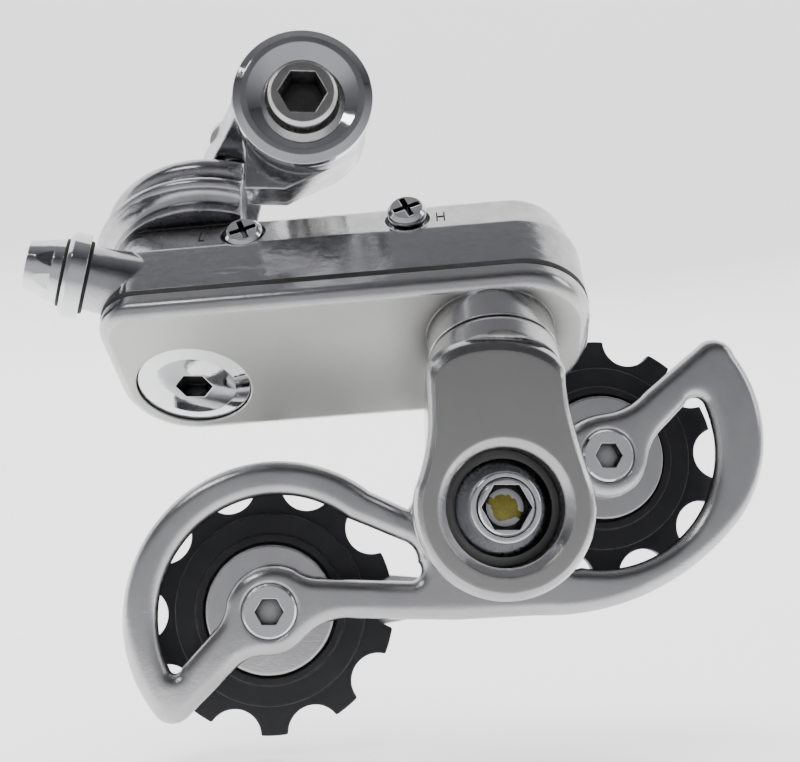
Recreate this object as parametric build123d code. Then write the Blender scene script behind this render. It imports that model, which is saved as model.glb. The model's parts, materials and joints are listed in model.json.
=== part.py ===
"""Rear derailleur of a bicycle, with an enclosed slant parallelogram, rebuilt piece by piece.

Frame: the origin is on the hanger bolt's axis, at the face that seats against the frame's hanger.
+X points to the front of the bicycle, +Y towards the wheel and +Z up. Sizes are in millimetres.
"""
from build123d import *
from math import atan2, cos, degrees, hypot, pi, radians, sin
import os

os.makedirs("parts", exist_ok=True)

# ---- driving dimensions -------------------------------------------------------------------
SLANT = 58.0            # angle of the parallelogram's pivots below the horizontal, outboard
REST_ANGLE = 16.2       # angle of the parallelogram above the forward direction, at rest
BOX_TILT = 8.0          # angle of the box's long edges above the forward direction, at rest
LINK_LENGTH = 46.4      # distance between the main pivot and the knuckle pivot
CRANK = 6.0             # offset of the hidden inner link from the two pivots
CRANK_ANGLE = 85.0      # direction of that offset, from forward towards outboard
PIVOT_X, PIVOT_Q = -16.7, -26.3   # the main pivot, forward and along the slant

RUN = 0.05              # radial clearance of a running fit

# levels along the pivots (W grows downwards and outboard)
W_PLATE = 29.1          # outer face of the cover plate
W_SEAL = 25.6           # inner face of the cover plate
W_RIM = 25.0            # lower rim of the body casting
W_TOP = 8.4             # upper face of the body casting
W_HOOD = -1.0           # top of the cable hood
W_ARM = (-8.6, -1.5)    # the base arm's plate above the hood
W_BOSS = 33.9           # end of the cover plate's boss
W_KNUCKLE = 34.5        # upper end of the lower knuckle
W_EDGE = 16.6           # edge between the body's straight sides and its sloping upper part
W_DRUM = 16.4           # end of the base's drum inside the box
W_EAR = (16.0, 19.2)    # ear of the base that carries the inner link
W_LINK = (19.5, 22.4)   # inner link
W_CRANK = (22.7, 25.3)  # ear of the knuckle crank
W_PIN_END = 23.8        # end of the main pivot pin
WALL = 2.2              # wall of the body casting

# levels across the bicycle (Y grows towards the wheel)
Y_KNUCKLE = (-16.4, 9.0)
Y_OUTER = (13.3, 16.3)  # outer cage plate
Y_INNER = (24.1, 25.9)  # inner cage plate
Y_WHEEL = (17.3, 23.1)  # jockey wheels
Y_BOSS = (-13.0, -1.0)  # boss of the base knuckle on the hanger bolt

# places in the side view (X, Z)
HANGER = (0.0, 0.0)
CAGE_PIVOT = (27.9, -57.5)
TENSION = (-4.9, -73.2)
GUIDE = (49.8, -48.5)

LOOP_L, LOOP_L_OUT, LOOP_L_IN = (-3.7, -73.6), 24.1, 18.6     # rear loop of the cage
LOOP_R, LOOP_R_IN = (48.6, -47.2), 19.7                       # front loop of the cage
INNER_MID = (22.5, -71.6)    # bend of the inner cage plate
STOP_PIN = (21.9, -51.8)

# places on the box (along it, across it) and on the link frame (forward, Q)
U_LEFT, U_RIGHT, V_LOW, V_HIGH = -11.6, 61.0, -11.6, 17.4
CORNER_R = (11.2, 15.0, 11.0, 6.5)    # lower rear, lower front, upper front, upper rear
BODY_TAPER = 15.0                     # slope of the body's upper part, in degrees
HOOD_CENTRE = (2.3, 2.0)
HOOD_SWEEP_R = 23.1                   # room that the hood needs when it swings
SCREW_U, SCREW_W = (10.0, 35.0), 13.5
ADJUSTER_XVW = (-15.6, 13.7, 19.4)    # inner face of the adjuster's collar
ADJUSTER_ANGLE = 163.0
ANCHOR_XV = (5.4, 17.5)               # cable anchor on the base arm

# radii
SHANK_R, SHOULDER_R, BOSS_R = 5.25, 6.0, 9.4     # hanger bolt and the boss round it
DRUM_R, MAIN_PIN_R, LINK_PIN_R = 6.0, 3.0, 1.3   # main pivot and link pins
CAP_HEAD_R, STEM_R = 8.6, 5.2                    # main pivot cap, knuckle stem
KNUCKLE_R, RECESS_R, BOLT_R = 12.45, 8.1, 4.0    # lower knuckle, its recess, cage pivot bolt
PAD_R, HUB_R = 7.0, 10.2                         # pads round the wheel bolts, cage hub
TOOTH_START = -15.4                              # direction of the first tooth

# standard sizes
HANGER_THREAD_R, HANGER_THREAD_LENGTH = 5.0, 9.5
HOUSING_R, HOUSING_DEPTH = 2.6, 5.0
ADJUSTER_END = 8.6      # outer end of the barrel adjuster
TEETH, CHAIN_PITCH, ROLLER_SEAT_R = 10, 12.7, 4.3
WHEEL_TIP_R = 20.0

# ---- frames -------------------------------------------------------------------------------
P = Vector(0, -cos(radians(SLANT)), -sin(radians(SLANT)))     # along the pivots
Q = Vector(0, -sin(radians(SLANT)), cos(radians(SLANT)))      # across them, outboard and up
MAIN = Vector(PIVOT_X, 0, 0) + Q * PIVOT_Q


def turned(angle):
    """A direction across the pivots, turned from forward towards Q."""
    return Vector(1, 0, 0) * cos(radians(angle)) + Q * sin(radians(angle))


LINK = Plane(origin=MAIN, x_dir=(1, 0, 0), z_dir=P)           # forward, Q, P
BOX = Plane(origin=MAIN, x_dir=turned(BOX_TILT), z_dir=P)     # along the box, across, P
ARM_AB = radians(REST_ANGLE - BOX_TILT)
B_UV = (LINK_LENGTH * cos(ARM_AB), LINK_LENGTH * sin(ARM_AB))  # knuckle pivot in the box
C_XV = (CRANK * cos(radians(CRANK_ANGLE)), CRANK * sin(radians(CRANK_ANGLE)))
B_XV = (LINK_LENGTH * cos(radians(REST_ANGLE)), LINK_LENGTH * sin(radians(REST_ANGLE)))
D_XV = (B_XV[0] + C_XV[0], B_XV[1] + C_XV[1])


def side(y):
    """Side view plane at depth y: X to the right, Z up, extruded outboard."""
    return Plane(origin=(0, y, 0), x_dir=(1, 0, 0), z_dir=(0, -1, 0))


# ---- helpers ------------------------------------------------------------------------------
def post(xy, r, low, high):
    """A cylinder between two levels of a local frame."""
    return Pos(xy[0], xy[1], (low + high) / 2) * Cylinder(r, high - low)


def cone(xy, r_low, r_high, low, high):
    """A truncated cone between two levels of a local frame."""
    return Pos(xy[0], xy[1], (low + high) / 2) * Cone(r_low, r_high, high - low)


def tube(xy, r_in, r_out, low, high):
    """A ring between two levels of a local frame."""
    return post(xy, r_out, low, high) - post(xy, r_in, low - 1, high + 1)


def hexagon(xy, across_flats, low, high):
    """A six-sided prism between two levels of a local frame."""
    return extrude(Pos(xy[0], xy[1], low) * RegularPolygon(across_flats / 2, 6, major_radius=False),
                   high - low)


def across(xz, r, y_low, y_high):
    """A cylinder across the bicycle between two depths."""
    return side(y_high).location * post(xz, r, 0, y_high - y_low)


def across_ring(xz, r_in, r_out, y_low, y_high):
    """A ring across the bicycle between two depths."""
    return across(xz, r_out, y_low, y_high) - across(xz, r_in, y_low - 1, y_high + 1)


def across_cone(xz, r_outboard, r_inboard, y_low, y_high):
    """A truncated cone across the bicycle, with its two end radii."""
    return side(y_high).location * cone(xz, r_inboard, r_outboard, 0, y_high - y_low)


def across_hex(xz, across_flats, y_low, y_high):
    """A hexagonal prism across the bicycle."""
    return side(y_high).location * hexagon(xz, across_flats, 0, y_high - y_low)


def hull_of(first, r_first, second, r_second):
    """The outline round two circles and their common tangents."""
    dx, dy = second[0] - first[0], second[1] - first[1]
    length = hypot(dx, dy)
    along = atan2(dy, dx)
    lean = atan2((r_first - r_second), (length ** 2 - (r_first - r_second) ** 2) ** 0.5)
    turn = pi / 2 - lean
    a, b = degrees(along + turn), degrees(along - turn)
    return outline(
        on_circle(first, r_first, a), on_circle(second, r_second, a),
        (on_circle(second, r_second, degrees(along)), on_circle(second, r_second, b)),
        on_circle(first, r_first, b),
        (on_circle(first, r_first, degrees(along) + 180), on_circle(first, r_first, a)))


def outline(start, *steps):
    """A closed face from a start point and steps: a point for a line, two points for an arc."""
    edges = []
    here = start
    for step in steps:
        if isinstance(step[0], tuple):
            edges.append(ThreePointArc(here, step[0], step[1]))
            here = step[1]
        else:
            edges.append(Line(here, step))
            here = step
    if hypot(here[0] - start[0], here[1] - start[1]) > 1e-6:
        edges.append(Line(here, start))
    return make_face(Curve() + edges)


def on_circle(centre, r, angle):
    """A point of a circle."""
    return (centre[0] + r * cos(radians(angle)), centre[1] + r * sin(radians(angle)))


def half_space(plane, size=200):
    """A large block on the positive side of a plane."""
    return plane.location * Pos(0, 0, size / 2) * Box(size, size, size)


def coil(wire_r, mean_r, turns, low, pitch):
    """A torsion spring of round wire."""
    path = Helix(pitch=pitch, height=turns * pitch, radius=mean_r)
    wire = Plane(origin=path @ 0, z_dir=path % 0) * Circle(wire_r)
    return Pos(0, 0, low) * sweep(wire, path=path)


def soften(shape, edges, *radii):
    """Round edges by the largest of the radii that the shape takes."""
    for radius in radii:
        try:
            return fillet(edges, radius)
        except ValueError:
            continue
    return shape


def save(name, shape):
    """Write one node, made of one or more separate solids."""
    solids = shape.solids()
    export_step(solids[0] if len(solids) == 1 else Compound(children=list(solids)), f"parts/{name}.step")


# ---- hanger group: held by the bicycle ------------------------------------------------------
def hanger_group():
    """The hanger bolt, its washer and the circlip that holds it in the base knuckle."""
    bolt = across(HANGER, HANGER_THREAD_R, -1, HANGER_THREAD_LENGTH)
    bolt = chamfer(bolt.faces().sort_by(Axis.Y)[-1].edges(), 0.8)
    bolt += across(HANGER, SHANK_R, -1, 0) + across(HANGER, SHOULDER_R, -12.6, -0.8)
    head = across(HANGER, 4.9, -16.1, -12.6)
    bolt += chamfer(head.faces().sort_by(Axis.Y)[0].edges(), 0.5)
    bolt -= across_hex(HANGER, 6.0, -17, -11.5)
    bolt -= across_ring(HANGER, 5.4, 7, -2.6, -1.7)
    save("hanger_bolt", bolt)
    save("hanger_washer", across_ring(HANGER, SHANK_R + 0.02, 8.2, -0.8, 0))
    clip = across_ring(HANGER, 5.42, 7.1, -2.5, -1.8)
    save("hanger_circlip", clip - Pos(0, -2.1, -7) * Box(3, 3, 6))


# ---- base knuckle -------------------------------------------------------------------------
def base_group():
    """The base knuckle with its arm and drum, the hanger cap, the pivot pins and the cable anchor."""
    boss = across(HANGER, BOSS_R, *Y_BOSS)
    web = side(Y_BOSS[1]).location * extrude(hull_of(HANGER, BOSS_R, (-9.3, -9.2), 5.4), 8.0)
    web &= Pos(100 - 8.3, 0, 50 - 11.8) * Box(200, 100, 100)
    lug = side(2.0).location * extrude(hull_of(HANGER, BOSS_R, (-6.6, 2.8), 4.2), 8.0)
    arm = LINK.location * Pos(0, 0, W_ARM[0]) * extrude(
        hull_of((0, 0), 6.8, (10.2, 29.0), 3.4), W_ARM[1] - W_ARM[0])
    body = boss + web + lug + arm
    body -= LINK.location * post((0, 0), HOOD_SWEEP_R, W_ARM[1], 20)
    body -= across(HANGER, 9.6, Y_BOSS[1], 20)
    drum = post((0, 0), DRUM_R, W_ARM[1] - 0.5, W_DRUM)
    ear = Pos(0, 0, W_EAR[0]) * extrude(hull_of((0, 0), 4.8, C_XV, 2.3), W_EAR[1] - W_EAR[0])
    body += LINK.location * (drum + ear)
    body -= across(HANGER, SHOULDER_R + RUN, Y_BOSS[0] - 1, 0)
    body -= across(HANGER, 7.4, -2.7, 0)
    body -= LINK.location * post((0, 0), MAIN_PIN_R, W_ARM[0] - 1, 30)
    body -= LINK.location * post(C_XV, LINK_PIN_R, W_EAR[0] - 1, 30)
    body -= LINK.location * post(ANCHOR_XV, 2.5, W_ARM[0] - 1, W_ARM[1] + 1)
    save("base_knuckle", body)

    cap = across_ring(HANGER, 5.35, 9.9, -14.9, Y_BOSS[0])
    cap = chamfer(cap.faces().sort_by(Axis.Y)[0].edges().sort_by(SortBy.LENGTH)[-1], 0.5, 1.15)
    cap -= across_cone(HANGER, 8.2, 5.35, -15.0, -14.0)
    save("hanger_cap", cap)

    pin = post((0, 0), MAIN_PIN_R, W_ARM[0] + 0.6, W_PIN_END)
    pin -= post((0, 0), 2.0, W_PIN_END - 6, W_PIN_END + 1)
    save("main_pivot_pin", LINK.location * pin)
    save("link_pin_base", LINK.location * post(C_XV, LINK_PIN_R, W_EAR[0], W_LINK[1] + 0.2))

    save("main_pivot_cap", cap_solid())

    bolt = post(ANCHOR_XV, 2.5, W_ARM[0] - 0.9, W_ARM[1] - 0.8) + hexagon(
        ANCHOR_XV, 5.0, W_ARM[0] - 4.6, W_ARM[0] - 0.9)
    save("cable_anchor_bolt", LINK.location * bolt)
    washer = tube(ANCHOR_XV, 2.55, 4.6, W_ARM[0] - 0.9, W_ARM[0])
    save("cable_anchor_washer", LINK.location * washer)
    save("return_spring", LINK.location * coil(0.55, 8.2, 3, 0.5, 1.9))


def cap_solid():
    """The flush round cap, screwed into the main pin, with a 5 mm hexagon socket."""
    head = post((0, 0), CAP_HEAD_R, W_SEAL + 1.65, W_PLATE - 0.1)
    head = chamfer(head.faces().sort_by(Axis.Z)[-1].edges(), 0.35, 2.2)
    head += post((0, 0), MAIN_PIN_R, W_PIN_END + 0.02, W_SEAL + 1.7)
    head += post((0, 0), 1.98, W_PIN_END - 5, W_PIN_END + 0.1)
    head -= hexagon((0, 0), 5.0, W_PLATE - 2.6, W_PLATE + 1)
    return LINK.location * head


# ---- box: body casting, gasket, cover plate --------------------------------------------------
def box_outline(inset):
    """The box's outline across the pivots, smaller by inset all round."""
    u0, u1, v0, v1 = U_LEFT + inset, U_RIGHT - inset, V_LOW + inset, V_HIGH - inset
    r0, r1, r2, r3 = (r - inset for r in CORNER_R)
    d = 1 - cos(radians(45))
    return outline(
        (u0 + r0, v0), (u1 - r1, v0),
        ((u1 - d * r1, v0 + d * r1), (u1, v0 + r1)), (u1, v1 - r2),
        ((u1 - d * r2, v1 - d * r2), (u1 - r2, v1)), (u0 + r3, v1),
        ((u0 + d * r3, v1 - d * r3), (u0, v1 - r3)), (u0, v0 + r0),
        ((u0 + d * r0, v0 + d * r0), (u0 + r0, v0)))


def box_form(inset, top, bottom):
    """The box's outer or inner form: straight sides, a sloping upper part, a cut inboard."""
    form = Pos(0, 0, W_EDGE) * extrude(box_outline(inset), bottom - W_EDGE)
    form += Pos(0, 0, W_EDGE) * extrude(box_outline(inset), top - W_EDGE, taper=BODY_TAPER)
    cut = Plane(origin=(76, V_LOW + inset * 1.18, W_RIM), x_dir=(0, 0, 1), z_dir=(-1, 0, 0))
    form -= cut.location * extrude(wedge_face(), 60)
    form += post((0, 0), 10.6 - inset, top, bottom)
    return form


def wedge_face():
    """Section of the inboard cut that makes room for the guide wheel (along P, along Q)."""
    return outline((0, 0), (-40, 40 * 0.625), (-40, -30), (0, -30))


def hood():
    """The cable hood: two ridges and a groove, turned about its own centre."""
    x, y = HOOD_CENTRE
    profile = outline(
        (8.0, W_TOP + 1.5), (8.0, 0.6), (13.0, W_HOOD), (17.0, W_HOOD),
        ((18.4, W_HOOD + 0.5), (18.8, W_HOOD + 1.7)), ((18.5, 1.9), (17.8, 2.6)),
        ((18.2, 4.0), (19.1, 5.0)), ((19.7, 6.0), (19.0, 7.0)), ((17.8, 7.3), (17.0, 8.0)),
        (17.0, W_TOP + 1.5))
    ring = Pos(x, y, 0) * revolve(Plane.XZ.location * profile, Axis.Z, 360)
    keep = Rot(0, 0, -BOX_TILT) * Pos(7.0 - 50, 50 + 4.0, 0) * Box(100, 100, 60)
    ring = ring & keep
    return ring


def adjuster_plane():
    """The barrel adjuster's own frame: origin at the collar's inner face, z out of the box."""
    x, v, w = ADJUSTER_XVW
    return Plane(origin=MAIN + Vector(x, 0, 0) + Q * v + P * w, x_dir=P, z_dir=turned(ADJUSTER_ANGLE))


def box_group():
    """The body casting with its bushes, the gasket and the cover plate."""
    top = round_top(box_form(0, W_TOP, W_RIM))
    casting = top + hood()
    neck = adjuster_plane().location * (cone((0, 0), 5.5, 4.9, -9.5, -1.0) + post((0, 0), 4.9, -1.1, 0))
    casting = BOX.location * casting + neck
    casting -= BOX.location * box_form(WALL, W_TOP + WALL, W_RIM + 1)
    casting -= BOX.location * post((0, 0), DRUM_R + 0.8, W_HOOD - 5, W_TOP + 4)
    casting -= BOX.location * post((0, 0), 10.6, W_HOOD - 5, W_TOP)
    casting -= adjuster_plane().location * post((0, 0), 3.0, -14, 1)
    for u in SCREW_U:
        face = Plane(origin=(u, 0, SCREW_W), x_dir=(1, 0, 0), z_dir=(0, 1, 0))
        casting -= BOX.location * face.location * post((0, 0), 3.45, 15.4, 30)
        casting -= BOX.location * face.location * post((0, 0), 2.2, 5, 30)
    save("body_casting", casting)
    upper = tube((0, 0), DRUM_R + RUN, DRUM_R + 0.8, W_TOP - 1.5, W_TOP + WALL)
    lower = tube((0, 0), MAIN_PIN_R + RUN, MAIN_PIN_R + 0.8, W_SEAL - 1.6, W_SEAL + 1.5)
    save("main_pivot_bushes", BOX.location * (Part() + [upper, lower]))

    ring = extrude(box_outline(0.15) - box_outline(2.0), W_SEAL - W_RIM)
    save("cover_gasket", BOX.location * Pos(0, 0, W_RIM) * ring)

    plate = Pos(0, 0, W_SEAL) * extrude(box_outline(0), W_PLATE - W_SEAL)
    plate = fillet(plate.faces().sort_by(Axis.Z)[-1].edges(), 2.0)
    plate -= Pos(0, 0, W_SEAL - 1) * extrude(box_outline(3.2) - Circle(7.0) - Pos(*B_UV) * Circle(9), 2.2)
    plate += post(B_UV, 9.4, W_PLATE - 1, W_BOSS)
    plate -= post((0, 0), CAP_HEAD_R + 0.2, W_SEAL + 1.5, W_PLATE + 1)
    plate -= post((0, 0), MAIN_PIN_R + 0.8, W_SEAL - 1, W_PLATE)
    plate -= post(B_UV, STEM_R + 0.8, W_SEAL - 1, W_BOSS + 1)
    save("cover_plate", BOX.location * plate)
    bush = tube(B_UV, STEM_R + RUN, STEM_R + 0.8, W_SEAL, W_BOSS)
    save("knuckle_pivot_bush", BOX.location * bush)


def round_top(form):
    """Round the casting's upper rim."""
    rim = form.faces().sort_by(Axis.Z)[0].outer_wire().edges()
    return soften(form, rim, 3.0, 2.0, 1.0)


def adjuster_group():
    """The eight-sided barrel adjuster and the collar it turns in."""
    here = adjuster_plane().location
    barrel = cone((0, 0), 5.05, 3.6, 3.6, ADJUSTER_END) + post((0, 0), 4.3, 3.2, 3.7)
    flats = extrude(Pos(0, 0, 3.6) * RegularPolygon(4.75, 8, major_radius=False), ADJUSTER_END - 3.6, taper=12)
    barrel = barrel & (flats + post((0, 0), 6, 3.0, 5.0)) + post((0, 0), 4.3, 3.2, 3.7)
    barrel += post((0, 0), 2.9, -9.0, 3.4)
    barrel -= post((0, 0), HOUSING_R, ADJUSTER_END - HOUSING_DEPTH, 12)
    barrel -= post((0, 0), 0.9, -12, 8)
    save("barrel_adjuster", here * barrel)
    collar = tube((0, 0), 3.1, 6.5, 0.2, 3.1)
    collar = chamfer(collar.faces().sort_by(Axis.Z)[-1].edges().sort_by(SortBy.LENGTH)[-1], 0.6)
    save("adjuster_collar", here * collar)


def limit_screws():
    """Two limit screws; the high one stands proud of the casting, the low one is sunk."""
    for name, u, head_v in (("limit_screw_low", SCREW_U[0], 15.5), ("limit_screw_high", SCREW_U[1], 17.1)):
        face = BOX.location * Plane(origin=(u, 0, SCREW_W), x_dir=(1, 0, 0), z_dir=(0, 1, 0)).location
        screw = post((0, 0), 1.7, 5.8, head_v) + post((0, 0), 2.9, head_v, head_v + 1.9)
        screw = chamfer(screw.faces().sort_by(Axis.Z)[-1].edges(), 0.5)
        for turn in (0, 90):
            screw -= Pos(0, 0, head_v + 1.9) * Rot(0, 0, turn + 20) * Box(4.2, 0.9, 2.2)
        save(name, face * screw)
        ring = tube((0, 0), 1.75, 2.2, 13.4, 15.4)
        save(name.replace("screw", "insert"), face * ring)


def link_group():
    """The hidden inner link of the parallelogram."""
    link = Pos(0, 0, W_LINK[0]) * extrude(hull_of(C_XV, 2.1, D_XV, 2.1), W_LINK[1] - W_LINK[0])
    link -= post(C_XV, LINK_PIN_R + RUN, W_LINK[0] - 1, W_LINK[1] + 1)
    link -= post(D_XV, LINK_PIN_R + 0.3, W_LINK[0] - 1, W_LINK[1] + 1)
    save("inner_link", LINK.location * link)
    save("link_clip", LINK.location * tube(C_XV, LINK_PIN_R + 0.01, 2.1, W_LINK[1] + 0.02, W_LINK[1] + 0.2))


# ---- lower knuckle ------------------------------------------------------------------------
def knuckle_outline(size=1.0):
    """The knuckle's section: a circle round the cage pivot, a slight waist and a half ellipse."""
    def at(x, z):
        return (CAGE_PIVOT[0] + x * size, CAGE_PIVOT[1] + z * size)

    left = on_circle(CAGE_PIVOT, KNUCKLE_R * size, 168)
    right = on_circle(CAGE_PIVOT, KNUCKLE_R * size, 14)
    low = on_circle(CAGE_PIVOT, KNUCKLE_R * size, 270)
    edges = Curve() + [
        ThreePointArc(left, low, right),
        Spline(right, at(9.7, 11.0), at(8.6, 18.3), tangents=[(-0.35, 1), (0, 1)]),
        EllipticalCenterArc(at(-1.0, 18.3), 9.6 * size, 5.04 * size, start_angle=0, arc_size=180),
        Spline(at(-10.6, 18.3), at(-10.4, 11.0), left, tangents=[(0, -1), (-0.4, -1)]),
    ]
    return make_face(edges)


def knuckle_group():
    """The lower knuckle, its stem with the hidden crank, the seal, the bush and the cage spring."""
    front, back = Y_KNUCKLE
    sizes = {front: 0.91, front + 0.4: 0.965, front + 1.3: 1.0, front + 3.0: 1.0, back: 0.83}
    body = loft([side(y).location * knuckle_outline(size) for y, size in sizes.items()], ruled=True)
    body &= half_space(Plane(origin=MAIN + P * W_KNUCKLE, x_dir=(1, 0, 0), z_dir=P))
    body += LINK.location * post(B_XV, 9.5, W_KNUCKLE, W_KNUCKLE + 3.3)
    body &= Pos(0, front + 100, -50) * Box(200, 200, 200)
    body -= across(CAGE_PIVOT, RECESS_R, front - 1, front + 4.8)
    body -= across_cone(CAGE_PIVOT, 9.3, RECESS_R, front - 0.01, front + 1.0)
    body -= across(CAGE_PIVOT, BOLT_R + 1.2, front, back + 1)
    body -= across_ring(CAGE_PIVOT, 5.8, 8.4, -2.5, back + 1)
    stem_hole = LINK.location * post(B_XV, 3.4, W_KNUCKLE - 1, W_KNUCKLE + 7)
    body -= stem_hole
    save("lower_knuckle", body)

    stem = post(B_XV, STEM_R, W_CRANK[0], W_KNUCKLE) + post(B_XV, 3.38, W_KNUCKLE - 0.1, W_KNUCKLE + 6.8)
    ear = Pos(0, 0, W_CRANK[0]) * extrude(hull_of(B_XV, STEM_R, D_XV, 2.3), W_CRANK[1] - W_CRANK[0])
    stem = stem + ear - post(D_XV, LINK_PIN_R, 15, 30)
    save("knuckle_crank", LINK.location * stem)
    save("link_pin_knuckle", LINK.location * post(D_XV, LINK_PIN_R, W_LINK[0] - 0.2, W_CRANK[1]))
    seal = tube(B_XV, STEM_R + 0.02, 8.8, W_BOSS + 0.08, W_KNUCKLE)
    save("knuckle_seal", LINK.location * seal)
    save("cage_pivot_bush", across_ring(CAGE_PIVOT, BOLT_R + RUN, BOLT_R + 1.2, -11.0, back))
    spring = Rot(-90, 0, 0) * coil(0.55, 7.1, 4.5, 0, 1.9)
    save("cage_spring", Pos(CAGE_PIVOT[0], -1.2, CAGE_PIVOT[1]) * spring)


# ---- cage ---------------------------------------------------------------------------------
def cage_outline():
    """Outer edge of the outer cage plate, clockwise from the knuckle's left side."""
    return outline(
        (17.0, -57.2), (10.9, -54.4),
        (on_circle(LOOP_L, LOOP_L_OUT, 172), on_circle(LOOP_L, LOOP_L_OUT, 221)),
        ((-19.6, -90.3), (-17.0, -89.1)), (-10.3, -82.4),
        ((-8.3, -80.8), (-5.4, -80.2)),
        ((-2.2, -79.6), (0.6, -77.6)), ((3.4, -75.4), (7.0, -74.5)), (25.0, -74.8),
        (37.8, -74.2), ((56.5, -70.6), (72.2, -58.4)), ((76.6, -46.0), (72.2, -31.4)),
        ((69.6, -28.9), (65.9, -30.0)), (56.4, -38.0), ((53.4, -40.3), (49.8, -41.4)),
        ((46.4, -42.3), (43.6, -44.0)), on_circle(CAGE_PIVOT, HUB_R, 52),
        (on_circle(CAGE_PIVOT, HUB_R, 110), on_circle(CAGE_PIVOT, HUB_R, 172)))


def window_left():
    """Opening between the rear loop's rim and its arm."""
    return outline(
        on_circle(LOOP_L, LOOP_L_IN, 207),
        (on_circle(LOOP_L, LOOP_L_IN, 130), on_circle(LOOP_L, LOOP_L_IN, 53)), (16.2, -62.3),
        ((18.0, -63.6), (18.6, -65.6)), ((18.9, -67.8), (17.4, -68.7)), (2.6, -68.1),
        ((0.6, -67.7), (-1.0, -66.8)), (on_circle(TENSION, PAD_R, 110), on_circle(TENSION, PAD_R, 168)),
        ((-12.0, -73.6), (-13.0, -75.6)), (-18.4, -81.8), ((-19.4, -82.7), on_circle(LOOP_L, LOOP_L_IN, 207)))


def window_right():
    """Opening between the front loop's rim and its arm."""
    return outline(
        on_circle(LOOP_R, LOOP_R_IN, 22),
        (on_circle(LOOP_R, LOOP_R_IN, -40), on_circle(LOOP_R, LOOP_R_IN, -100)),
        ((43.2, -66.4), (42.6, -64.6)), ((42.9, -59.8), (42.4, -56.2)), ((42.9, -54.6), (44.6, -54.2)),
        ((46.4, -54.4), on_circle(GUIDE, PAD_R, -110)),
        (on_circle(GUIDE, PAD_R, -60), on_circle(GUIDE, PAD_R, -12)),
        ((57.4, -47.0), (59.0, -44.4)), (63.3, -40.0), ((65.4, -38.7), on_circle(LOOP_R, LOOP_R_IN, 22)))


def cage_group():
    """The two cage plates, the cage pivot bolt and both jockey wheels with what holds them."""
    front, back = Y_OUTER
    plate = side(back).location * extrude(cage_outline(), back - front)
    plate = soften(plate, plate.faces().sort_by(Axis.Y)[0].edges(), 1.1, 0.8, 0.5)
    windows = side(back + 1).location * extrude(window_left() + window_right(), back - front + 2)
    plate -= windows
    plate += across(CAGE_PIVOT, HUB_R - 0.2, Y_KNUCKLE[1] + 0.4, front + 0.1)
    plate -= across(CAGE_PIVOT, BOLT_R + 0.01, 0, 20)
    plate -= across(STOP_PIN, 1.3, 0, 20)
    for pivot in (TENSION, GUIDE):
        plate += across(pivot, PAD_R - 0.4, front - 0.6, front + 0.5)
        plate -= across(pivot, 4.4, front - 2, front + 1.3)
        plate -= across(pivot, 2.55, front - 2, back + 2)
    save("outer_cage_plate", plate)

    y0, y1 = Y_INNER
    bar = hull_of(TENSION, 6.6, INNER_MID, 2.9) + hull_of(INNER_MID, 2.9, GUIDE, 6.6)
    bar = side(y1).location * extrude(bar, y1 - y0)
    for pivot in (TENSION, GUIDE):
        bar -= across(pivot, 2.4, y0 - 1, y1 + 1)
    save("inner_cage_plate", bar)

    bolt = across(CAGE_PIVOT, BOLT_R, -13.0, Y_OUTER[1] - 0.2)
    head = across(CAGE_PIVOT, 3.85, -16.3, -12.9)
    bolt = bolt + chamfer(head.faces().sort_by(Axis.Y)[0].edges(), 0.25)
    bolt -= across_hex(CAGE_PIVOT, 6.0, -17.5, -13.4)
    core = across(CAGE_PIVOT, 2.6, -14.6, -13.2)
    core -= Pos(CAGE_PIVOT[0], -14.8, CAGE_PIVOT[1]) * Rot(0, 25, 0) * Box(6, 1.6, 0.9)
    bolt += core
    save("cage_pivot_bolt", bolt)
    nut = across_cone(CAGE_PIVOT, 4.7, 6.7, -15.9, -13.4) + across(CAGE_PIVOT, 6.7, -13.4, -12.0)
    nut -= across(CAGE_PIVOT, BOLT_R + 0.01, -17, -11)
    save("cage_cone_nut", nut)
    pin = across(STOP_PIN, 1.3, Y_KNUCKLE[1] + 0.9, back)
    save("cage_stop_pin", pin)

    for name, pivot in (("tension", TENSION), ("guide", GUIDE)):
        bolt = across(pivot, 4.3, front - 0.7, front + 1.25)
        bolt = chamfer(bolt.faces().sort_by(Axis.Y)[0].edges(), 0.35)
        bolt += across(pivot, 2.38, front, Y_INNER[1] + 0.4)
        bolt -= across_hex(pivot, 4.0, front - 2, front + 0.9)
        save(f"{name}_wheel_bolt", bolt)
        save(f"{name}_wheel_bush", across_ring(pivot, 2.4, 4.0, back, y0))
        gaps = {"front": (back + 0.02, Y_WHEEL[0] + 0.5), "rear": (Y_WHEEL[1] - 0.5, y0 - 0.02)}
        for place, (low, high) in gaps.items():
            save(f"{name}_{place}_shield", across_ring(pivot, 4.02, 10.3, low, high))
        save(f"{name}_wheel", wheel(pivot))


def wheel(pivot):
    """A ten-tooth jockey wheel: thin teeth on a thicker hub with a recess for each shield."""
    low, high = Y_WHEEL
    middle = (low + high) / 2
    pitch_r = CHAIN_PITCH / 2 / sin(pi / TEETH)
    rim = across(pivot, WHEEL_TIP_R, middle - 1.1, middle + 1.1)
    body = rim + across(pivot, 15.3, middle - 2.2, middle + 2.2) + across(pivot, 12.0, low, high)
    for tooth in range(TEETH):
        seat = on_circle(pivot, pitch_r + 0.3, TOOTH_START + (tooth + 0.5) * 360 / TEETH)
        body -= across(seat, ROLLER_SEAT_R, low - 1, high + 1)
    body -= across(pivot, 4.0 + RUN, low - 1, high + 1)
    body -= across(pivot, 10.7, low - 1, low + 0.9)
    body -= across(pivot, 10.7, high - 0.9, high + 1)
    return body


def main():
    """Build every group and write its nodes."""
    hanger_group()
    base_group()
    box_group()
    adjuster_group()
    limit_screws()
    link_group()
    knuckle_group()
    cage_group()


main()
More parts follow.
